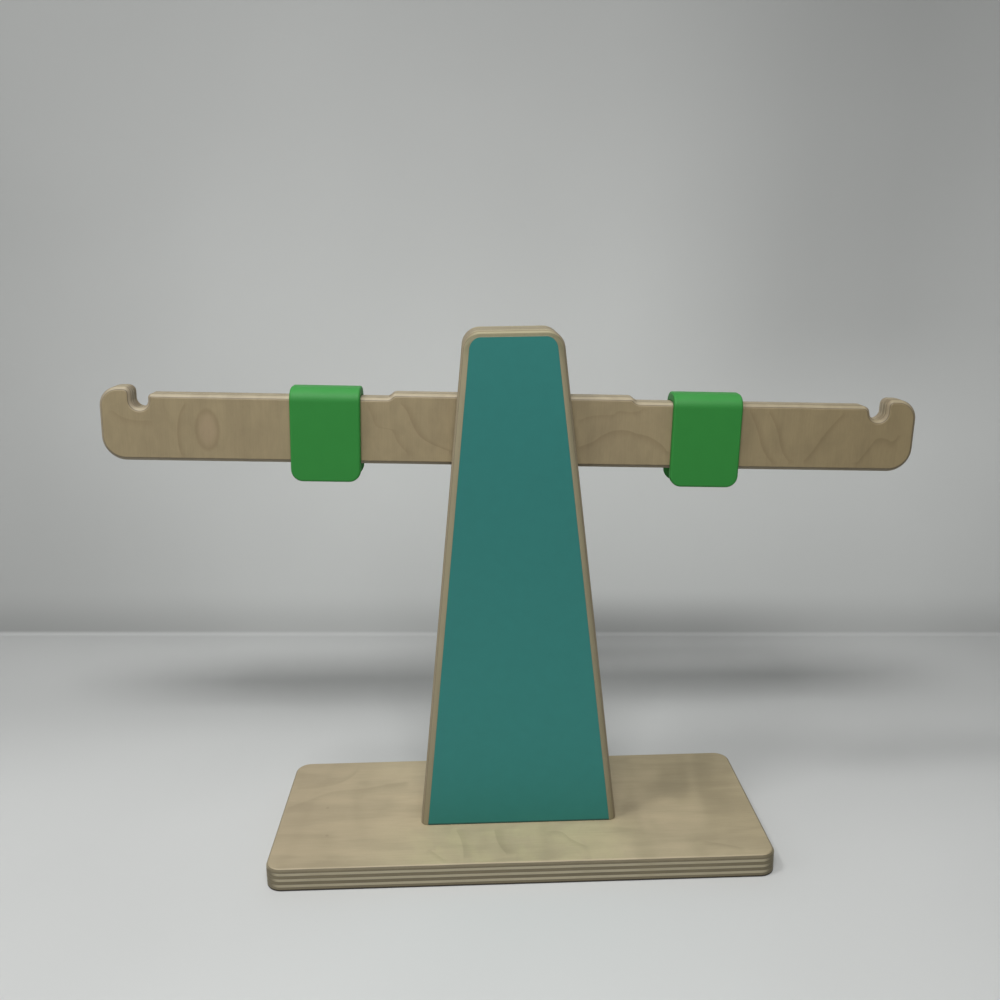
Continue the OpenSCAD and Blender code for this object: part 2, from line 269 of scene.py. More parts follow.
def makeStageMaterial(setup):
    material, nodes, shader = newMaterial("palePaper")
    point, _ = coordinates(nodes)
    side, ahead, height = nodes.split(point)
    beside = nodes.size(side)
    # Painted shade: the floor greys towards the fold, and the wall upwards and at its two sides
    floorShade = nodes.smooth(ahead, -0.01, 0.2, 0.985, 0.81)
    leftWallShade = nodes.times(nodes.smooth(side, -0.42, -0.1, setup["leftWallShade"], 0.0),
                           nodes.smooth(height, 0.3, 0.52, 1.0, 0.0))
    rightWallShade = nodes.times(nodes.smooth(side, 0.08, 0.24, 0.0, setup["rightWallShade"]),
                            nodes.smooth(height, 0.14, 0.26),
                            nodes.smooth(side, 0.28, 0.38, 1.0, 0.4))
    wallShade = nodes.times(nodes.smooth(height, 0.12, 0.6, 0.99, 0.52),
                           nodes.smooth(height, 0.0, 0.04, 0.8, 1.0),
                           nodes.minus(1.0, leftWallShade), nodes.minus(1.0, rightWallShade))
    # Painted shade along the fold on the right, on both floor and wall
    foldShade = nodes.times(nodes.smooth(side, 0.0, 0.05), nodes.smooth(side, 0.14, 0.3, 1.0, 0.0))
    near = nodes.times(nodes.smooth(ahead, 0.2, 0.24), nodes.smooth(height, 0.0, 0.04, 1.0, 0.0))
    foldShade = nodes.minus(1.0, nodes.times(foldShade, near, setup["foldShadeDark"]))
    # The beam's painted shadow: a soft dark band across the floor behind the scale
    beamShadow = nodes.times(nodes.smooth(ahead, 0.1, 0.17), nodes.smooth(ahead, 0.19, 0.25, 1.0, 0.0),
                         nodes.smooth(beside, 0.2, 0.36, setup["beamShadowDark"], 0.0))
    floorShade = nodes.times(floorShade, foldShade, nodes.minus(1.0, beamShadow))
    floor = nodes.tint(setup["floorColour"], floorShade)
    wall = nodes.tint(setup["wallColour"], nodes.times(wallShade, foldShade))
    cloud = nodes.smooth(nodes.noise(point, 3.6, 2.0, 0.45), 0.25, 0.75,
                         1 - setup["cloud"], 1 + setup["cloud"])
    colour = nodes.mixColour(nodes.smooth(height, 0.0, 0.004), floor, wall)
    nodes.feed(shader["Base Color"], nodes.tint(colour, cloud))
    nodes.feed(shader["Roughness"], nodes.smooth(nodes.noise(point, 900), 0.2, 0.8, 0.82, 0.92))
    shader["Specular IOR Level"].default_value = 0.2
    # Far out, where the lamps fade, the stage glows with painted light for the camera, as pale as
    # the room
    far = nodes.most(nodes.smooth(ahead, -0.4, -1.0), nodes.smooth(beside, 0.6, 1.2),
                     nodes.smooth(height, 0.75, 1.3))
    far = nodes.times(far, nodes.add("LightPath").outputs["Is Camera Ray"])
    paintedGlowFar = nodes.add("Emission", {0: room["colour"], 1: room["seen"]}).outputs[0]
    # Seen from behind or below, the stage lets the view through
    behind = nodes.add("NewGeometry").outputs["Backfacing"]
    clear = nodes.add("BsdfTransparent").outputs[0]
    surface = nodes.tree.nodes["Material Output"].inputs["Surface"]
    lit = nodes.add("MixShader", {0: far, 1: surface.links[0].from_socket, 2: paintedGlowFar}).outputs[0]
    nodes.feed(surface, nodes.add("MixShader", {0: behind, 1: lit, 2: clear}).outputs[0])
    return material


def makeStage(setup):
    radius, foldY, half = setup["foldRadius"], setup["foldY"], setup["halfWidth"]
    profile = [(setup["front"], 0.0)]
    for step in range(17):
        angle = math.radians(90 * step / 16)
        profile.append((foldY - radius + radius * math.sin(angle),
                        radius - radius * math.cos(angle)))
    profile.append((foldY, setup["wallTop"]))
    work = bmesh.new()
    rows = [[work.verts.new((side * half, y - setup["wallTurn"] * side * half, z))
             for side in (-1, 1)] for y, z in profile]
    for low, high in zip(rows, rows[1:]):
        work.faces.new((low[0], low[1], high[1], high[0])).smooth = True
    mesh = bpy.data.meshes.new("studioFloor")
    work.to_mesh(mesh)
    work.free()
    stage = bpy.data.objects.new("studioFloor", mesh)
    stage.data.materials.append(makeStageMaterial(setup))
    scene.collection.objects.link(stage)


def makeWorld(setup):
    # Dim for the light it gives, pale where the camera or a reflection sees it
    world = bpy.data.worlds.new("paleRoom")
    world.use_nodes = True
    world.node_tree.nodes.clear()
    nodes = NodeTree(world.node_tree)
    ray = nodes.add("LightPath").outputs
    looked = nodes.plus(ray["Is Camera Ray"], ray["Is Glossy Ray"], ray["Is Transmission Ray"],
                        clamp=True)
    dim = nodes.add("Background", {0: setup["fillColour"], 1: setup["fill"]}).outputs[0]
    pale = nodes.add("Background", {0: setup["colour"], 1: setup["seen"]}).outputs[0]
    mixed = nodes.add("MixShader", {0: looked, 1: dim, 2: pale}).outputs[0]
    nodes.add("OutputWorld", {0: mixed})
    scene.world = world


makeStage(stageSetup)
makeWorld(room)
print("stage and world made")


# Shared node groups

def makeMottleGroup():
    # A soft unevenness of tone round 1, and fine relief for a bump
    nodes, given, out = newGroup(
        "fineMottle",
        [("Point", "Vector"), ("Size", "Float", 0.004), ("Amount", "Float", 0.05)],
        [("Tone", "Float"), ("Relief", "Float")])
    scaled = nodes.add("VectorMath", {0: given["Point"], "Scale": nodes.over(1.0, given["Size"])},
                       operation="SCALE").outputs[0]
    broad = nodes.noise(scaled, 1.0, 3.0, 0.55)
    fine = nodes.noise(scaled, 14.0, 2.0, 0.6)
    both = nodes.plus(nodes.times(broad, 0.75), nodes.times(fine, 0.25))
    swing = nodes.times(nodes.minus(both, 0.5), nodes.times(given["Amount"], 4.0))
    nodes.feed(out["Tone"], nodes.plus(swing, 1.0))
    nodes.feed(out["Relief"], fine)


def makeDustGroup():
    # A thin veil of dust and handling on what faces up
    nodes, given, out = newGroup(
        "faintDust", [("Point", "Vector"), ("Normal", "Vector"), ("Amount", "Float", 0.1)],
        [("Mask", "Float")])
    up = nodes.smooth(nodes.split(given["Normal"])[2], -0.1, 1.0)
    patches = nodes.smooth(nodes.noise(given["Point"], 60, 3.0, 0.6), 0.35, 0.75)
    specks = nodes.smooth(nodes.noise(given["Point"], 2600, 1.0), 0.68, 0.76)
    veil = nodes.plus(nodes.times(patches, 0.7), nodes.times(specks, 0.5))
    nodes.feed(out["Mask"], nodes.times(nodes.times(veil, up), given["Amount"], clamp=True))


def makePlywoodGroup():
    # Point and Normal come in the board's own order: along the face grain, across it, and depth.
    # Even plies have their grain along the first, odd ones along the second.
    nodes, given, out = newGroup(
        "crossPlies",
        [("Point", "Vector"), ("Normal", "Vector"), ("Thickness", "Float", 0.012),
         ("Plies", "Float", 7.0), ("Face Ply", "Float", 0.0006), ("Face Keep", "Float", 0.0),
         ("Long Grain", "Color"), ("Core Grain", "Color"), ("End Grain", "Color"),
         ("Glue", "Color")],
        [("Colour", "Color"), ("Roughness", "Float"), ("Relief", "Float"), ("Face", "Float")])
    along, across, depth = nodes.split(given["Point"])
    normalAlong, normalAcross, normalDepth = [nodes.size(s) for s in nodes.split(given["Normal"])]
    wander = nodes.noise(nodes.stretch(given["Point"], (28, 28, 28)), 1.0)
    depth = nodes.plus(depth, nodes.times(nodes.minus(wander, 0.5), 0.0003))
    # The two face plies are thinner than the core's, which share what is left
    last = nodes.minus(given["Plies"], 1.0)
    core = nodes.over(nodes.minus(given["Thickness"], nodes.times(given["Face Ply"], 2.0)),
                      nodes.minus(given["Plies"], 2.0))
    counted = nodes.plus(nodes.over(nodes.minus(depth, given["Face Ply"]), core), 1.0)
    index = nodes.math("MINIMUM", nodes.most(nodes.math("FLOOR", counted), 0.0), last)
    outer = nodes.most(nodes.math("LESS_THAN", index, 0.5),
                       nodes.math("GREATER_THAN", index, nodes.minus(last, 0.5)))
    odd = nodes.math("MODULO", index, 2.0)

    def byPly(inEven, inOdd):
        return nodes.plus(inEven, nodes.times(odd, nodes.minus(inOdd, inEven)))

    endGrain = nodes.smooth(byPly(normalAlong, normalAcross), 0.12, 0.66)
    endGrain = nodes.times(endGrain, nodes.minus(1.0, nodes.times(outer, given["Face Keep"])))
    face = nodes.smooth(normalDepth, 0.8, 0.97)
    grain, cross = byPly(along, across), byPly(across, along)
    shifted = nodes.times(index, 0.37)

    def grainNoise(alongScale, crossScale, *settings):
        # Noise drawn out along the grain, and moved on from ply to ply
        place = nodes.join(nodes.plus(nodes.times(grain, alongScale), shifted),
                           nodes.times(cross, crossScale), nodes.times(depth, crossScale))
        return nodes.noise(place, 1.0, *settings)

    fibre = grainNoise(60, 1900, 4.0, 0.62)
    fleck = nodes.smooth(grainNoise(420, 3600, 1.0), 0.64, 0.74)
    flame = grainNoise(22, 95, 2.0, 0.5, 0.6)
    plyTone = nodes.add("TexWhiteNoise", {"W": nodes.plus(index, 0.5)},
                        noise_dimensions="1D").outputs[0]
    colour = nodes.mixColour(outer, given["Core Grain"], given["Long Grain"])
    colour = nodes.mixColour(nodes.times(endGrain, 0.95), colour, given["End Grain"])
    tone = nodes.plus(nodes.smooth(fibre, 0.25, 0.75, 0.965, 1.03),
                      nodes.smooth(flame, 0.3, 0.7, -0.035, 0.035))
    inCore = nodes.times(nodes.minus(1.0, outer), 0.1)
    tone = nodes.plus(tone, nodes.times(nodes.minus(plyTone, 0.5), inCore))
    colour = nodes.tint(colour, nodes.minus(tone, nodes.times(fleck, 0.07)))
    # Glue lines lie between plies and not at the outer faces
    nearest = nodes.math("ROUND", counted)
    gap = nodes.size(nodes.minus(counted, nearest))
    inner = nodes.times(nodes.math("GREATER_THAN", nearest, 0.5),
                        nodes.math("LESS_THAN", nearest, nodes.minus(given["Plies"], 0.5)))
    line = nodes.times(nodes.smooth(gap, 0.03, 0.09, 1.0, 0.0), inner, nodes.minus(1.0, face))
    colour = nodes.mixColour(nodes.times(line, 0.6), colour, given["Glue"])
    roughness = nodes.plus(nodes.smooth(fibre, 0.25, 0.75, 0.62, 0.5), nodes.times(endGrain, 0.12))
    relief = nodes.minus(nodes.minus(fibre, nodes.times(fleck, 0.5)), nodes.times(line, 0.8))
    results = {"Colour": colour, "Roughness": roughness, "Relief": relief, "Face": face}
    for key, value in results.items():
        nodes.feed(out[key], value)


def makeRingGroup():
    # One growth ring: a thin dark line where Offset is nought, fading out slowly to one side
    nodes, given, out = newGroup(
        "growthRing",
        [("Offset", "Float"), ("Line", "Float", 0.5), ("Fade", "Float", 5.0),
         ("Reach", "Float", 1.0)],
        [("Mask", "Float")])
    size = nodes.size(given["Offset"])
    thin = nodes.smooth(size, 0.0, given["Line"], 1.0, 0.0)
    oneSide = nodes.math("GREATER_THAN", nodes.times(given["Offset"], given["Fade"]), 0.0)
    wide = nodes.smooth(size, 0.0, nodes.size(given["Fade"]), 1.0, 0.0)
    shade = nodes.times(nodes.times(wide, wide), nodes.times(oneSide, 0.75))
    mask = nodes.times(nodes.most(nodes.times(thin, 0.55), shade), given["Reach"])
    nodes.feed(out["Mask"], mask)


makeMottleGroup()
makeDustGroup()
makePlywoodGroup()
makeRingGroup()
print("node groups made")


# Wood: every board is cut out of one solid stack of plies

def placePlies(nodes, setup, point, normal):
    return nodes.group("crossPlies", {
        "Point": nodes.join(*point), "Normal": nodes.join(*normal),
        "Thickness": setup["thickness"], "Plies": setup["plies"], "Face Ply": setup["facePly"],
        "Face Keep": setup["faceKeep"], "Long Grain": setup["long"], "Core Grain": setup["core"],
        "End Grain": setup["end"], "Glue": setup["glue"]})


def ringMask(nodes, ring, first, second):
    # first and second are the face's two coordinates in mm. A ring by "x" is drawn along the first.
    by, line, fade, depth, points = ring
    along, across = (first, second) if by == "x" else (second, first)
    places = sorted(points)
    start, end = places[0][0], places[-1][0]
    values = [value for _, value in places]
    low, high = min(values) - 1, max(values) + 1
    curve = nodes.add("FloatCurve", {"Value": nodes.smooth(along, start, end, shape="LINEAR")})
    marks = curve.mapping.curves[0].points
    for number, (place, value) in enumerate(places):
        at, level = (place - start) / (end - start), (value - low) / (high - low)
        if number in (0, len(places) - 1):
            marks[0 if number == 0 else len(marks) - 1].location = (at, level)
        else:
            marks.new(at, level)
    curve.mapping.update()
    drawn = nodes.math("MULTIPLY_ADD", curve.outputs[0], high - low, low)
    inside = nodes.times(nodes.smooth(along, start - 3, start + 1),
                         nodes.smooth(along, end - 1, end + 3, 1.0, 0.0))
    return nodes.group("growthRing", {
        "Offset": nodes.minus(across, drawn), "Line": line, "Fade": fade,
        "Reach": nodes.times(inside, depth)})["Mask"]


def finishWood(nodes, shader, setup, point, plies, colour):
    mottle = nodes.group("fineMottle", {
        "Point": point, "Size": setup["mottleSize"], "Amount": setup["mottle"]})
    nodes.feed(shader["Base Color"], nodes.tint(colour, mottle["Tone"]))
    nodes.feed(shader["Roughness"], plies["Roughness"])
    shader["Specular IOR Level"].default_value = 0.45
    nodes.feed(shader["Normal"], nodes.bump(0.25, 0.00012, plies["Relief"]))


# Rings are (by, line, fade, depth, points): along which coordinate the curve is drawn, half its
# line's width, how far it fades and to which side, its strength, and places along and across in mm.
# On the base's top, X and Y count from its middle.
baseRings = [
    ("x", 1.6, -12, 0.9, [(-122.2, 4), (-113, 10.1), (-99.6, 18.7), (-83.3, 21), (-71.5, 24.6),
        (-61, 26.8)]),
    ("x", 1.6, 11, 0.8, [(-120.3, 23), (-101.9, 26.3), (-95, 31.3), (-89.8, 39.9)]),
    ("y", 0.55, 11, 0.9, [(-43.6, -7.6), (-35, -11), (-24.1, -12.6)]),
    ("y", 0.55, 10, 0.8, [(-45.7, -28.3), (-35.3, -29), (-23.1, -32)]),
    ("x", 0.55, -7, 0.7, [(-45.2, -39.1), (-38.2, -47.5)]),
    ("x", 0.55, -9, 0.8, [(15.3, -26.1), (20.5, -26.4), (25.5, -33.3), (32.3, -39.7)]),
    ("x", 0.55, -7, 0.7, [(92.5, -39), (99.9, -41.5), (108.5, -45.1)]),
]
pinKnots = [(-101.4, 2.5), (-98.1, -23.8)]

baseTones = {
    "long": (0.49, 0.41, 0.265, 1), "core": (0.41, 0.36, 0.248, 1),
    "end": (0.165, 0.138, 0.084, 1), "glue": (0.06, 0.045, 0.028, 1),
    "thickness": 0.012, "plies": 9, "facePly": 0.0006, "faceKeep": 0.6,
    "mottleSize": 0.011, "mottle": 0.03,
    "ring": (0.17, 0.14, 0.08, 1), "ringShare": 0.34,
    "band": (0.24, 0.205, 0.12, 1), "bandShare": 0.26,
    "warm": (0.4, 0.32, 0.21, 1), "warmShare": 0.5,
    # painted teal reflection and light in front of the tower, then painted shadow at the far right
    # end
    "tealReflection": (1.08, 1.12, 1.06, 1),         # this and the next multiply the colour
    "farRightShadow": (0.86, 0.85, 0.81, 1),
    # painted contact shadow on the lower arris
    "contactShade": (0.022, 0.016, 0.01, 1), "contactShadeShare": 0.93,
}


def makeBaseWood(setup, rings, knots):
    material, nodes, shader = newMaterial("basePlywood")
    point, normal = coordinates(nodes)
    plies = placePlies(nodes, setup, nodes.split(point), nodes.split(normal))
    x, y, z = [nodes.times(s, 1000) for s in nodes.split(point)]
    masks = [ringMask(nodes, ring, x, y) for ring in rings]
    for knotX, knotY in knots:
        away = nodes.length(nodes.minus(x, knotX), nodes.minus(y, knotY))
        masks.append(nodes.smooth(away, 0.3, 1.3, 0.9, 0.0))
    figure = nodes.times(nodes.most(*masks), plies["Face"], setup["ringShare"])
    colour = nodes.mixColour(figure, plies["Colour"], setup["ring"])
    # Half-hidden wavy bands across the board, and a warmer left end
    bands = nodes.noise(nodes.stretch(point, (26, 9, 20)), 1.0, 1.0, 0.5, 1.4)
    bands = nodes.smooth(bands, 0.45, 0.75, 0.0, setup["bandShare"])
    colour = nodes.mixColour(bands, colour, setup["band"])
    warm = nodes.times(nodes.smooth(x, -60, -125, 0.0, setup["warmShare"]), plies["Face"])
    colour = nodes.mixColour(warm, colour, setup["warm"])
    # Broad soft strokes that run slantwise
    slant = nodes.add("Mapping", {"Vector": point, "Rotation": (0, 0, -0.45),
                                  "Scale": (16, 62, 20)}).outputs[0]
    strokes = nodes.smooth(nodes.noise(slant, 1.0, 2.0, 0.55, 0.8), 0.4, 0.68, 1.02, 0.92)
    colour = nodes.mixColour(plies["Face"], colour, nodes.tint(colour, strokes))
    # Painted teal reflection and light on patches in front of the tower, and a painted shadow on
    # the far right end
    patches = nodes.noise(nodes.stretch(point, (60, 45, 20)), 1.0, 2.0, 0.55, 1.0)
    patches = nodes.math("MULTIPLY_ADD", nodes.smooth(patches, 0.38, 0.62), 0.7, 0.3)
    tealReflection = nodes.times(nodes.smooth(nodes.size(x), 30, 80, 1.0, 0.0),
                        nodes.smooth(y, -8, -26), plies["Face"], patches)
    colour = nodes.tint(colour, setup["tealReflection"], tealReflection)
    # Painted shadow of the tower on the far right end
    colour = nodes.tint(colour, setup["farRightShadow"], nodes.smooth(nodes.plus(x, y), 20, 130))
    # Painted contact shadow darkens the lower arris next to the floor
    low = nodes.smooth(z, 1.3, 0.8, 0.0, setup["contactShadeShare"])
    colour = nodes.mixColour(low, colour, setup["contactShade"])
    finishWood(nodes, shader, setup, point, plies, colour)
    return material


panelTones = {
    "long": (0.29, 0.25, 0.155, 1), "core": (0.4, 0.345, 0.228, 1),
    "end": (0.285, 0.235, 0.152, 1), "glue": (0.07, 0.05, 0.03, 1),
    "thickness": 0.0104, "plies": 7, "facePly": 0.00115, "faceKeep": 0.0,
    "mottleSize": 0.009, "mottle": 0.03,
    "outer": 0.0172,                        # where the outer face lies
    # The next three paint light and shade: shade on the upper rounding, light on the flat top,
    # shade beside the sheet
    "rounding": (0.76, 0.82, 0.74, 1),      # these three multiply the colour
    "topLight": (1.22, 1.26, 1.22, 1),
    "grooveShade": (0.74, 0.79, 0.74, 1),
}
spacerTones = {**panelTones, "thickness": 0.0136, "plies": 9, "facePly": 0.0009,
               "mottleSize": 0.012, "mottle": 0.04}


def makePanelWood(setup):
    # Shared by both panels: depth counts from each one's outer face
    material, nodes, shader = newMaterial("panelPlywood")
    point, normal = coordinates(nodes)
    x, y, z = nodes.split(point)
    normalX, normalY, normalZ = nodes.split(normal)
    depth = nodes.minus(setup["outer"], nodes.size(y))
    apart = nodes.plus(x, nodes.times(nodes.math("SIGN", y), 0.5))
    plies = placePlies(nodes, setup, (z, apart, depth), (normalZ, normalX, normalY))
    # Painted shade dulls the rounding above the sheet, and painted light brightens the flat top
    rim = nodes.times(nodes.smooth(normalZ, 0.2, 0.6), nodes.smooth(nodes.size(normalY), 0.3, 0.7))
    colour = nodes.tint(plies["Colour"], setup["rounding"], rim)
    colour = nodes.tint(colour, setup["topLight"], nodes.smooth(normalZ, 0.8, 1.0))
    # Painted shade darkens the wood right above the sheet, mostly along the top
    grooveShade = nodes.times(nodes.smooth(depth, 0.0002, 0.0011, 1.0, 0.0),
                      nodes.smooth(z, 0.25, 0.258, 0.08, 1.0))
    colour = nodes.tint(colour, setup["grooveShade"], grooveShade)
    finishWood(nodes, shader, setup, point, plies, colour)
    return material


def makeSpacerWood(setup):
    material, nodes, shader = newMaterial("spacerPlywood")
    point, normal = coordinates(nodes)
    x, y, z = nodes.split(point)
    normalX, normalY, normalZ = nodes.split(normal)
    depth = nodes.plus(y, setup["thickness"] / 2)
    plies = placePlies(nodes, setup, (x, z, depth), (normalX, normalZ, normalY))
    finishWood(nodes, shader, setup, point, plies, plies["Colour"])
    return material


# On the beam's face, X runs along it from its middle and Z up from its lower edge
beamRings = [
    ("z", 0.55, 4, 0.9, [(27.1, -155.4), (14.6, -159.4), (7.4, -159.1), (2.6, -157.9)]),
    ("x", 0.55, -6, 0.7, [(-189, 23.2), (-180.9, 19.1), (-172, 18.8)]),
    ("z", 0.55, 6, 1.0, [(28.9, -53.5), (25.1, -50.4), (20.3, -48.5), (13.6, -44.5), (10.3, -39.9),
        (7.9, -34.4), (6.3, -30.3)]),
    ("z", 0.55, 5, 0.7, [(27.7, -69.4), (22.9, -67.3), (17.6, -64.8), (16.1, -57.9), (10.8, -55.3),
        (5.2, -50.4)]),
    ("x", 0.55, -4, 0.7, [(32.5, 22.6), (39.2, 24.7), (47.8, 25.3), (50.6, 27), (57.8, 26.7),
        (62.1, 28.5)]),
    ("x", 0.55, -6, 1.0, [(32.6, 9.5), (38.3, 11.7), (43.9, 15.5), (49.6, 17.6), (54.9, 17.7),
        (59.4, 16.3), (63.8, 15.4), (69.8, 12.7), (75, 7.7)]),
    ("z", 0.55, 5, 0.9, [(27.9, 114.1), (19.2, 118.3), (9.9, 121.7), (3, 126.8)]),
    ("z", 0.55, 5, 0.9, [(27.6, 123.5), (19.3, 128), (9.5, 131.1), (3.7, 135.1)]),
    ("z", 0.55, 5, 1.0, [(27.2, 159.1), (18.8, 152.3), (13.3, 148.7), (8.3, 145.7), (4.3, 142.4)]),
    ("x", 0.55, -6, 1.0, [(168.7, 3.7), (171.1, 7.2), (174.1, 11.5), (177.7, 15.7), (182, 15.4),
        (184.8, 14.4), (187.4, 17.4)]),
]

beamTones = {
    "long": (0.285, 0.226, 0.128, 1), "core": (0.42, 0.36, 0.25, 1),
    "end": (0.31, 0.255, 0.175, 1), "glue": (0.04, 0.028, 0.018, 1),
    "thickness": 0.012, "plies": 9, "facePly": 0.00045, "faceKeep": 0.85,
    "mottleSize": 0.01, "mottle": 0.03,
    "rearShift": 17.0,      # mm that the rear face's rings lie further on
    "ringRise": -0.6,       # mm that all rings lie higher than drawn
    "ring": (0.15, 0.1, 0.05, 1), "ringShare": 0.42,
    "ovalAt": (-145.3, 14.9), "ovalHalf": (5.5, 9.5), "oval": (0.36, 0.25, 0.165, 1),
    "flame": (0.2, 0.15, 0.085, 1), "flameShare": 0.16,
    "darkArm": (0.87, 0.85, 0.79, 1),       # this and the next multiply the colour
    # painted light on what faces up
    "topLight": (1.12, 1.13, 1.12, 1),
    # painted shade on what faces down
    "underShade": (0.1, 0.08, 0.055, 1), "underShadeShare": 0.55,
}


def makeBeamWood(setup, rings):
    material, nodes, shader = newMaterial("beamPlywood")
    point, normal = coordinates(nodes)
    # Back to the beam's own frame, in which it lies level
    point = nodes.add("Mapping", {"Vector": point, "Location": beamPlace.translation,
                                  "Rotation": (0, tilt, 0)}, vector_type="TEXTURE").outputs[0]
    normal = nodes.add("Mapping", {"Vector": normal, "Rotation": (0, -tilt, 0)},
                       vector_type="VECTOR").outputs[0]
    x, y, z = nodes.split(point)
    normalX, normalY, normalZ = nodes.split(normal)
    depth = nodes.plus(y, setup["thickness"] / 2)
    plies = placePlies(nodes, setup, (z, x, depth), (normalZ, normalX, normalY))
    # The rear face shows the same rings as seen from behind, a little further on
    rear = nodes.math("GREATER_THAN", y, 0.0)
    sense = nodes.minus(1.0, nodes.times(rear, 2.0))
    u = nodes.plus(nodes.times(x, 1000, sense), nodes.times(rear, setup["rearShift"]))
    h = nodes.math("MULTIPLY_ADD", z, 1000, setup["ringRise"])
    masks = [ringMask(nodes, ring, u, h) for ring in rings]
    # One closed oval of rings, a little pinker inside
    (ovalU, ovalH), (halfU, halfH) = setup["ovalAt"], setup["ovalHalf"]
    ovalSpan = nodes.length(nodes.over(nodes.minus(u, ovalU), halfU),
                            nodes.over(nodes.minus(h, ovalH), halfH))
    masks.append(nodes.group("growthRing", {
        "Offset": nodes.times(nodes.minus(ovalSpan, 1.0), 6.0), "Line": 1.1,
        "Fade": -4.0})["Mask"])
    figure = nodes.times(nodes.most(*masks), plies["Face"], setup["ringShare"])
    colour = nodes.mixColour(figure, plies["Colour"], setup["ring"])
    pink = nodes.times(nodes.smooth(ovalSpan, 0.3, 1.1, 0.3, 0.0), plies["Face"])
    colour = nodes.mixColour(pink, colour, setup["oval"])
    # Faint flames and blotches across the whole face
    flame = nodes.noise(nodes.stretch(point, (75, 20, 24)), 1.0, 2.0, 0.5, 1.2)
    flame = nodes.smooth(flame, 0.42, 0.72, 0.0, setup["flameShare"])
    colour = nodes.mixColour(flame, colour, setup["flame"])
    blotch = nodes.noise(nodes.stretch(point, (150, 150, 90)), 1.0, 2.0, 0.6, 0.4)
    colour = nodes.tint(colour, nodes.smooth(blotch, 0.3, 0.7, 0.955, 1.045))
    # One arm is a little darker than the other
    colour = nodes.tint(colour, setup["darkArm"], nodes.smooth(u, 20, 190))
    # Painted light brightens what faces up
    colour = nodes.tint(colour, setup["topLight"], nodes.smooth(normalZ, 0.85, 1.0))
    # Painted shade darkens what faces down
    underShade = nodes.smooth(normalZ, -0.15, -0.8, 0.0, setup["underShadeShare"])
    colour = nodes.mixColour(underShade, colour, setup["underShade"])
    finishWood(nodes, shader, setup, point, plies, colour)
    return material


def makeBeech():
    material, nodes, shader = newMaterial("turnedBeech")
    point, _ = coordinates(nodes)
    ripple = nodes.noise(nodes.stretch(point, (900, 120, 900)), 1.0, 3.0, 0.6)
    pores = nodes.noise(nodes.stretch(point, (3200, 600, 3200)), 1.0, 1.0)
    pores = nodes.smooth(pores, 0.62, 0.72, 0.0, 0.5)
    colour = nodes.mixColour(nodes.smooth(ripple, 0.25, 0.75), (0.42, 0.27, 0.15, 1),
                             (0.54, 0.37, 0.22, 1))
    nodes.feed(shader["Base Color"], nodes.mixColour(pores, colour, (0.2, 0.11, 0.06, 1)))
    nodes.feed(shader["Roughness"], nodes.smooth(ripple, 0.2, 0.8, 0.55, 0.68))
    nodes.feed(shader["Normal"], nodes.bump(0.3, 0.0001, ripple))
    return material


# Laminate, silicone, acetal and steel share one build, each with its own values. The upward colour
# is painted light on what faces up, the foot light is painted light that brightens the low part of
# a tall piece, and the corner shade is painted shade in its corner with the base board.
smoothFinishes = {
    "tealLaminate": {
        "colour": (0.0235, 0.176, 0.156, 1), "roughness": 0.5, "level": 0.35,
        "mottleSize": 0.006, "mottle": 0.035, "relief": 0.25, "distance": 0.00006,
        "dust": 0.04, "dustColour": (0.3, 0.33, 0.31, 1),
        "footLight": 0.2, "seamShade": (0.03, 0.03, 0.016, 1)},
    "greenSilicone": {
        "colour": (0.023, 0.2, 0.032, 1), "roughness": 0.55, "level": 0.3,
        "mottleSize": 0.009, "mottle": 0.03, "relief": 0.3, "distance": 0.00008,
        "dust": 0.08, "dustColour": (0.3, 0.38, 0.3, 1), "topLitColour": (0.038, 0.28, 0.05, 1)},
    "whiteAcetal": {
        "colour": (0.7, 0.69, 0.64, 1), "roughness": 0.38, "level": 0.5,
        "mottleSize": 0.003, "mottle": 0.015, "relief": 0.2, "distance": 0.00004,
        "dust": 0.04, "dustColour": (0.4, 0.38, 0.34, 1)},
    "zincSteel": {
        "colour": (0.56, 0.57, 0.58, 1), "roughness": 0.34, "level": 0.5, "metallic": 1.0,
        "mottleSize": 0.0015, "mottle": 0.05, "relief": 0.35, "distance": 0.00004,
        "dust": 0.05, "dustColour": (0.25, 0.24, 0.22, 1)},
}


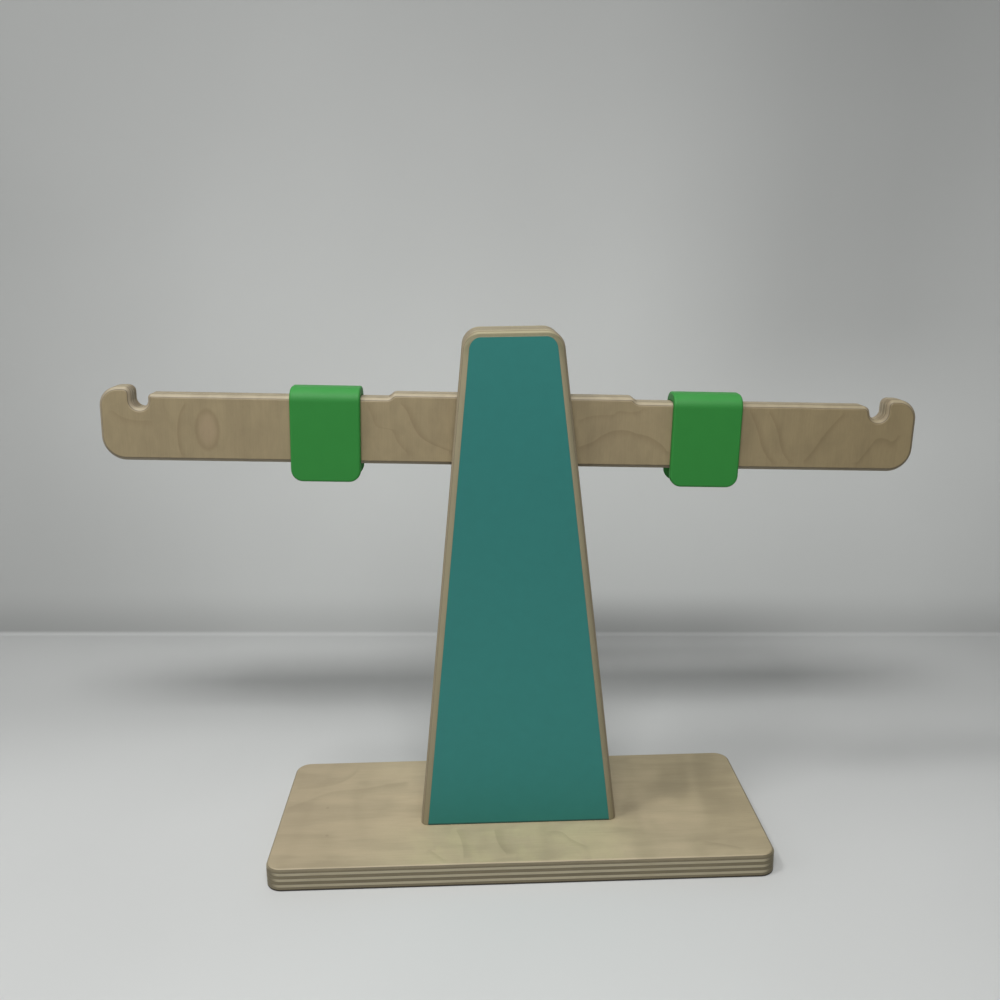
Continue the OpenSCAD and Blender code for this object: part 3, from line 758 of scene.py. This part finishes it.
def makeSmoothFinish(name, setup):
    material, nodes, shader = newMaterial(name)
    point, normal = coordinates(nodes)
    height = nodes.split(point)[2]
    mottle = nodes.group("fineMottle", {
        "Point": point, "Size": setup["mottleSize"], "Amount": setup["mottle"]})
    veil = nodes.group("faintDust", {
        "Point": point, "Normal": normal, "Amount": setup["dust"]})["Mask"]
    colour = setup["colour"]
    # Painted light makes what faces up lighter
    if "topLitColour" in setup:
        up = nodes.smooth(nodes.split(normal)[2], 0.05, 0.85)
        colour = nodes.mixColour(up, colour, setup["topLitColour"])
    colour = nodes.tint(colour, mottle["Tone"])
    # Painted light brightens the low part of a tall piece
    if "footLight" in setup:
        colour = nodes.tint(colour, nodes.smooth(height, 0.02, 0.2, 1.0 + setup["footLight"], 1.0))
    # Painted shade darkens the corner with the base board
    if "seamShade" in setup:
        corner = nodes.smooth(height, 0.0121, 0.0135, 0.85, 0.0)
        colour = nodes.mixColour(corner, colour, setup["seamShade"])
    nodes.feed(shader["Base Color"], nodes.mixColour(veil, colour, setup["dustColour"]))
    rough = nodes.smooth(mottle["Relief"], 0.25, 0.75, setup["roughness"] - 0.04,
                         setup["roughness"] + 0.04)
    nodes.feed(shader["Roughness"], nodes.plus(rough, nodes.times(veil, 0.4), clamp=True))
    shader["Metallic"].default_value = setup.get("metallic", 0.0)
    shader["Specular IOR Level"].default_value = setup["level"]
    bump = nodes.bump(setup["relief"], setup["distance"], mottle["Relief"])
    nodes.feed(shader["Normal"], bump)
    return material


finishes = {name: makeSmoothFinish(name, setup) for name, setup in smoothFinishes.items()}
finishes.update({
    "baseWood": makeBaseWood(baseTones, baseRings, pinKnots),
    "panelWood": makePanelWood(panelTones),
    "spacerWood": makeSpacerWood(spacerTones),
    "beamWood": makeBeamWood(beamTones, beamRings),
    "beech": makeBeech()})
print("materials made")


# Mesh helpers: outlines are lists of points in mm, and every mesh is made in metres

def arcPoints(centre, radius, start, end, step=6.0):
    count = max(3, math.ceil(abs(end - start) / step))
    angles = [math.radians(start + (end - start) * i / count) for i in range(count + 1)]
    return [(centre[0] + radius * math.cos(a), centre[1] + radius * math.sin(a)) for a in angles]


def quarterSteps(radius, steps=6, flat=0.0):
    # (inset, depth) pairs of an edge, from the face out to the side: a quarter round, or with
    # flat above nought an arc that meets the face and the side at that many degrees
    low = math.radians(flat)
    span = math.cos(low) - math.sin(low)
    angles = [low + (math.pi / 2 - 2 * low) * i / steps for i in range(steps + 1)]
    return [(radius * (1 - (math.sin(a) - math.sin(low)) / span),
             radius * (math.cos(low) - math.cos(a)) / span) for a in angles]


def joinRings(work, rings):
    count = len(rings[0])
    for low, high in zip(rings, rings[1:]):
        for i in range(count):
            j = (i + 1) % count
            work.faces.new((low[i], low[j], high[j], high[i]))


def closeEnds(work, rings):
    work.faces.new(rings[0][::-1])
    work.faces.new(rings[-1])


def closeMesh(name, work):
    bmesh.ops.remove_doubles(work, verts=work.verts, dist=1e-7)
    bmesh.ops.recalc_face_normals(work, faces=work.faces)
    mesh = bpy.data.meshes.new(name)
    work.to_mesh(mesh)
    work.free()
    piece = bpy.data.objects.new(name, mesh)
    scene.collection.objects.link(piece)
    return piece


def ringSolid(name, rings, place):
    # rings are (outline, depth) pairs with as many points each, and place turns
    # (a, b, depth) into (x, y, z)
    work = bmesh.new()
    rows = [[work.verts.new([v * mm for v in place(a, b, depth)]) for a, b in outline]
            for outline, depth in rings]
    joinRings(work, rows)
    closeEnds(work, rows)
    return closeMesh(name, work)


def turnedSolid(work, profile, at, axis, segments=48):
    # Adds a solid of revolution to work: profile is (radius, height) pairs, axis "y" or "z"
    rows = []
    for radius, height in profile:
        row = []
        for i in range(segments):
            angle = 2 * math.pi * i / segments
            a, b = radius * math.cos(angle), radius * math.sin(angle)
            x, y, z = (a, height, b) if axis == "y" else (a, b, height)
            row.append(work.verts.new(((at[0] + x) * mm, (at[1] + y) * mm, (at[2] + z) * mm)))
        rows.append(row)
    joinRings(work, rows)
    closeEnds(work, rows)


def addBore(work, radius, start, end, at=(0, 0, 0), axis="y"):
    turnedSolid(work, [(radius, start), (radius, end)], at, axis)


def cutAway(piece, *cutters):
    for cutter in cutters:
        modifier = piece.modifiers.new("cut", "BOOLEAN")
        modifier.operation, modifier.solver, modifier.object = "DIFFERENCE", "EXACT", cutter
    bpy.context.view_layer.update()
    depsgraph = bpy.context.evaluated_depsgraph_get()
    cut = bpy.data.meshes.new_from_object(piece.evaluated_get(depsgraph))
    piece.modifiers.clear()
    old, piece.data = piece.data, cut
    cut.name = piece.name
    bpy.data.meshes.remove(old)
    for cutter in cutters:
        bpy.data.objects.remove(cutter)


def finishPiece(piece, finish, body, node, sharpAngle=32):
    piece.data.materials.clear()
    piece.data.materials.append(finishes[finish])
    piece.data.shade_smooth()
    piece.data.set_sharp_from_angle(angle=math.radians(sharpAngle))
    weighted = piece.modifiers.new("weightedNormals", "WEIGHTED_NORMAL")
    weighted.keep_sharp = True
    weighted.weight = 80
    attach(piece, body)
    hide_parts(node)


# Base board, in mm

base = {"width": 250.0, "depth": 104.0, "thick": 12.0, "corner": 8.0, "edge": 1.5, "lowEdge": 0.6,
        "screwAt": (36.432, 12.0), "screwRadius": 2.05,
        "headRadius": 3.85, "headSink": 0.6, "headRim": 0.38,
        "dowelAt": 30.36, "dowelRadius": 3.05, "dowelSeat": 5.5}
through = 2.0       # how far a cutter reaches past the face it opens


def baseOutline(inset):
    points = []
    for sideX, sideY, start in ((1, -1, -90), (1, 1, 0), (-1, 1, 90), (-1, -1, 180)):
        centre = (sideX * (base["width"] / 2 - base["corner"]),
                  sideY * (base["depth"] / 2 - base["corner"]))
        points += arcPoints(centre, base["corner"] - inset, start, start + 90)
    return points


def makeBaseBoard():
    thick = base["thick"]
    topEdge = reversed(quarterSteps(base["edge"], flat=20))
    rings = [(baseOutline(inset), depth) for inset, depth in quarterSteps(base["lowEdge"])]
    rings += [(baseOutline(inset), thick - depth) for inset, depth in topEdge]
    board = ringSolid("baseBoard", rings, lambda a, b, depth: (a, b, depth))
    work = bmesh.new()
    head, shank, rim = base["headRadius"], base["screwRadius"], base["headSink"] + base["headRim"]
    for x in (-base["screwAt"][0], base["screwAt"][0]):
        for y in (-base["screwAt"][1], base["screwAt"][1]):
            turnedSolid(work, [(head, -through / 2), (head, rim), (shank, rim + head - shank),
                               (shank, thick + through)], (x, y, 0), "z")
    for x in (-base["dowelAt"], base["dowelAt"]):
        addBore(work, base["dowelRadius"], thick - base["dowelSeat"], thick + through,
                (x, 0, 0), "z")
    cutAway(board, closeMesh("boardBores", work))
    finishPiece(board, "baseWood", "stand", "base_board")


makeBaseBoard()
print("base board made")


# Tower: two panels with a teal sheet let into each, and two spacers between them. In mm

tower = {"footHalf": 50.6, "slope": 0.108290, "foot": 12.0, "top": 264.1, "corner": 9.0,
         "outer": 17.2, "inner": 6.8, "edge": 3.6, "topShare": 0.74, "footRound": 0.5,
         "facing": 0.5, "sheetEdge": 0.16, "sheetLift": 0.12,
         "joint": 0.3, "spacerRound": 0.4, "windowRound": 0.6,
         "dowelRadius": 3.05, "dowelReach": 5.5, "pinRadius": 2.55, "pinReach": 6.8,
         "screwRadius": 2.05, "screwTop": 38.65, "screwPoint": 32.6, "screwTip": 0.05,
         "baseDowelTop": 28.3, "dowelHeights": (0.14, 0.86), "dowelSide": 0.45,
         "spacerLean": 6.2, "cutFrom": 5.0}      # cutFrom: where cutters from below start
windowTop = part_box("top_spacer")[0].z / mm
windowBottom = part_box("bottom_spacer")[1].z / mm
leanStretch = math.sqrt(1 + tower["slope"] ** 2)
lean = math.degrees(math.atan(tower["slope"]))


def towerHalf(z):
    return tower["footHalf"] - tower["slope"] * (z - tower["foot"])


def towerOutline(inset, low=tower["foot"], footRound=tower["footRound"], topInset=None):
    # Round the tower from its lower right corner. The lower edge isn't drawn in by inset, and
    # the top less than the sides.
    topInset = inset * tower["topShare"] if topInset is None else topInset
    bottomZ, topZ = low + footRound, tower["top"] - tower["corner"]
    bottomX = towerHalf(bottomZ) - (inset + footRound) * leanStretch
    topX = towerHalf(topZ) - tower["corner"] * leanStretch
    right = arcPoints((bottomX, bottomZ), footRound, -90, lean, 16)
    wide, high = tower["corner"] - inset, tower["corner"] - topInset
    right += [(topX + a * wide, topZ + b * high) for a, b in arcPoints((0, 0), 1, lean, 90, 5)]
    return right + [(-x, z) for x, z in reversed(right)]


def towerDowels():
    foot = tower["foot"]
    heights = [foot + (windowBottom - foot) * share for share in tower["dowelHeights"]]
    heights.append((windowTop + tower["top"]) / 2)
    return [(side * towerHalf(z) * tower["dowelSide"], z) for z in heights for side in (-1, 1)]


def makePanel(name, node, side):
    # side is -1 for the front and 1 for the rear; depth counts from the outer face inwards
    def place(a, b, depth):
        return a, side * (tower["outer"] - depth), b

    edge, joint, inner = tower["edge"], tower["joint"], tower["inner"]
    thick = tower["outer"] - inner
    # The edge is a quarter round down the sides and flatter along the top
    rings = [(towerOutline(inset, topInset=tower["topShare"] * (edge - depth + inset) / 2), depth)
             for inset, depth in quarterSteps(edge, 8)]
    rings += [(towerOutline(0), thick - joint), (towerOutline(joint), thick)]
    panel = ringSolid(name, rings, place)
    sheetOutline = towerOutline(edge, tower["cutFrom"])
    recess = ringSolid("recess", [(sheetOutline, -through), (sheetOutline, tower["facing"])], place)
    work = bmesh.new()
    start = side * (inner - through)
    for x, z in towerDowels():
        addBore(work, tower["dowelRadius"], start, side * (inner + tower["dowelReach"]), (x, 0, z))
    addBore(work, tower["pinRadius"], start, side * (inner + tower["pinReach"]),
            (0, 0, pivot.z / mm))
    for x in (-base["screwAt"][0], base["screwAt"][0]):
        radius = tower["screwRadius"]
        turnedSolid(work, [(radius, tower["cutFrom"]), (radius, tower["screwPoint"]),
                           (tower["screwTip"], tower["screwTop"])],
                    (x, side * base["screwAt"][1], 0), "z")
    cutAway(panel, recess, closeMesh("panelBores", work))
    finishPiece(panel, "panelWood", "stand", node)


def makeFacing(name, node, side):
    edge, lift = tower["edge"], tower["foot"] + tower["sheetLift"]
    rings = [(towerOutline(edge + inset, lift + inset), depth)
             for inset, depth in quarterSteps(tower["sheetEdge"], 3)]
    rings.append((towerOutline(edge, lift), tower["facing"]))
    sheet = ringSolid(name, rings, lambda a, b, depth: (a, side * (tower["outer"] - depth), b))
    finishPiece(sheet, "tealLaminate", "stand", node)


def spacerOutline(inset, low, high):
    # From low up to high, or to the tower's own top where high is None
    if high is None:
        return towerOutline(inset, low, tower["spacerRound"])
    foot, window, turn = tower["spacerRound"], tower["windowRound"], tower["spacerLean"]
    right = arcPoints((towerHalf(low) - (inset + foot) * leanStretch, low + foot), foot,
                      -90, turn, 16)
    right += arcPoints((towerHalf(high) - (inset + window) * leanStretch, high - window), window,
                       turn, 90, 14)
    return right + [(-x, z) for x, z in reversed(right)]


def makeSpacer(name, node, low, high):
    joint, half = tower["joint"], tower["inner"]
    levels = ((joint, -half), (0, joint - half), (0, half - joint), (joint, half))
    rings = [(spacerOutline(inset, low, high), y) for inset, y in levels]
    spacer = ringSolid(name, rings, lambda a, b, depth: (a, depth, b))
    work = bmesh.new()
    for x, z in towerDowels():
        if (high is None) == (z > windowTop):
            addBore(work, tower["dowelRadius"], -half - 1, half + 1, (x, 0, z))
    if high is not None:
        for x in (-base["dowelAt"], base["dowelAt"]):
            addBore(work, base["dowelRadius"], low - through, tower["baseDowelTop"],
                    (x, 0, 0), "z")
    cutAway(spacer, closeMesh("spacerBores", work))
    finishPiece(spacer, "spacerWood", "stand", node)


makePanel("frontPanel", "front_panel", -1)
makePanel("rearPanel", "rear_panel", 1)
makeFacing("frontFacing", "front_facing", -1)
makeFacing("rearFacing", "rear_facing", 1)
makeSpacer("topSpacer", "top_spacer", windowTop, None)
makeSpacer("bottomSpacer", "bottom_spacer", tower["foot"], windowBottom)
print("tower made")


# Beam, in mm, drawn flat in its own frame: X along it from its middle, Z up from its lower edge

beam = {"length": 391.6, "arm": 32.1, "thick": 12.0, "edge": 2.1, "footCorner": 11.5,
        "hookRise": 3.2, "hookCorner": 9.5, "hookTip": 3.2,
        "shoulderRise": 2.2, "shoulder": 111.5, "ramp": 5.0,
        "notchFromEnd": 19.0, "notchRadius": 3.9, "notchDepth": 6.9,
        "leftLip": 2.0, "rightLip": 4.0, "boreRadius": 3.8}


def halfBeam(lip, inset):
    half, arm = beam["length"] / 2, beam["arm"]
    hook, notch = arm + beam["hookRise"], beam["notchRadius"]
    notchAt, notchHeight = half - beam["notchFromEnd"], arm - beam["notchDepth"] + notch
    turn = math.degrees(math.asin(max(0, notchHeight - arm + lip) / (notch + lip)))
    # A lip rounder than the edge's own radius keeps its middle, a sharper one follows the inset
    lip = max(lip, inset + 0.05)
    lipAt = notchAt - (notch + lip) * math.cos(math.radians(turn))
    shoulder, ramp, rise = beam["shoulder"] / 2, beam["ramp"], beam["shoulderRise"]
    rampRadius = (ramp ** 2 + rise ** 2) / (4 * rise)
    rampTurn = math.degrees(math.asin(ramp / (2 * rampRadius)))
    foot, corner, tip = beam["footCorner"], beam["hookCorner"], beam["hookTip"]
    return (
        arcPoints((half - foot, foot), foot - inset, -90, 0)
        + arcPoints((half - corner, hook - corner), corner - inset, 0, 90)
        + arcPoints((notchAt + notch + tip, hook - tip), tip - inset, 90, 180, 9)
        + arcPoints((notchAt, notchHeight), notch + inset, 0, turn - 180)
        + arcPoints((lipAt, arm - lip), lip - inset, turn, 90, 9)
        + arcPoints((shoulder + ramp, arm + rampRadius), rampRadius + inset, -90, -90 - rampTurn)
        + arcPoints((shoulder, arm + rise - rampRadius), rampRadius - inset, 90 - rampTurn, 90))


def beamOutline(inset):
    left = halfBeam(beam["leftLip"], inset)
    return halfBeam(beam["rightLip"], inset) + [(-x, z) for x, z in reversed(left)]


def makeBeam():
    half = beam["thick"] / 2
    edge = quarterSteps(beam["edge"], flat=24)
    rings = [(beamOutline(inset), depth - half) for inset, depth in edge]
    rings += [(beamOutline(inset), half - depth) for inset, depth in reversed(edge)]
    board = ringSolid("balanceBeam", rings, lambda a, b, depth: (a, depth, b))
    work = bmesh.new()
    addBore(work, beam["boreRadius"], -half - 1, half + 1, (0, 0, pivotHeight))
    cutAway(board, closeMesh("beamBore", work))
    board.data.transform(beamPlace)
    finishPiece(board, "beamWood", "beam", "beam")


makeBeam()
print("beam made")


# Riders, in mm: a folded strip of silicone each, with soft rims, in the beam's frame

rider = {"length": 33.3, "inner": 12.6, "wall": 3.0, "top": 36.6, "roof": 32.4, "drop": 8.4,
         "flapCorner": 5.7, "bend": 6.6, "innerBend": 1.9, "rim": 1.1, "innerRim": 0.35,
         "leftAt": -89.3, "rightAt": 93.1}


def riderPoint(kind, angle, inset, depth):
    # Where a rim point lies: (x, y, z) for its right side and the front half of the strip
    inner, wall, halfLength = rider["inner"] / 2, rider["wall"], rider["length"] / 2
    outer = inner + wall
    if kind == "corner":
        radius = rider["flapCorner"]
        x = halfLength - radius + (radius - inset) * math.cos(angle)
        z = radius + (radius - inset) * math.sin(angle) - rider["drop"]
        return x, -(outer - depth), z
    bend, innerBend = rider["bend"], rider["innerBend"]
    outside = (-(outer - bend) - bend * math.cos(angle),
               rider["top"] - bend + bend * math.sin(angle))
    inside = (-(inner - innerBend) - innerBend * math.cos(angle),
              rider["roof"] - innerBend + innerBend * math.sin(angle))
    y, z = [a + (b - a) * depth / wall for a, b in zip(outside, inside)]
    return halfLength - inset, y, z


def riderRing(inset, depth):
    # Round one rider from the front flap's lower edge over the bridge, and back on the other side
    stations = [("corner", math.radians(10 * i - 90)) for i in range(10)]
    stations += [("bend", math.radians(11.25 * i)) for i in range(9)]
    front = [riderPoint(kind, angle, inset, depth) for kind, angle in stations]
    right = front + [(x, -y, z) for x, y, z in reversed(front)]
    return right + [(-x, y, z) for x, y, z in reversed(right)]


def makeRider(name, node, at):
    work = bmesh.new()
    levels = quarterSteps(rider["rim"], 6)
    levels += [(inset, rider["wall"] - depth)
               for inset, depth in reversed(quarterSteps(rider["innerRim"], 4))]
    rings = [[work.verts.new([v * mm for v in point]) for point in riderRing(inset, depth)]
             for inset, depth in levels]
    joinRings(work, rings)
    # The outer and inner surfaces run straight across from side to side
    count = len(rings[0])
    for ring in (rings[0], rings[-1]):
        for i in range(count // 2 - 1):
            work.faces.new((ring[i], ring[i + 1], ring[count - 2 - i], ring[count - 1 - i]))
    saddle = closeMesh(name, work)
    saddle.matrix_world = beamPlace @ Matrix.Translation((at * mm, 0, 0))
    finishPiece(saddle, "greenSilicone", node, node, 50)


makeRider("leftRider", "left_rider", rider["leftAt"])
makeRider("rightRider", "right_rider", rider["rightAt"])
print("riders made")


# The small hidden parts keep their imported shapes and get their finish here
hiddenParts = {
    "tower_dowels": "beech", "base_dowels": "beech", "base_screws": "zincSteel",
    "pivot_pin": "zincSteel", "front_bush": "whiteAcetal", "rear_bush": "whiteAcetal",
}
for nodeName, finish in hiddenParts.items():
    small = frame["nodes"][nodeName].data
    small.materials.clear()
    small.materials.append(finishes[finish])
    small.shade_smooth()
    small.set_sharp_from_angle(angle=math.radians(30))
print("small parts finished")

bpy.context.view_layer.update()
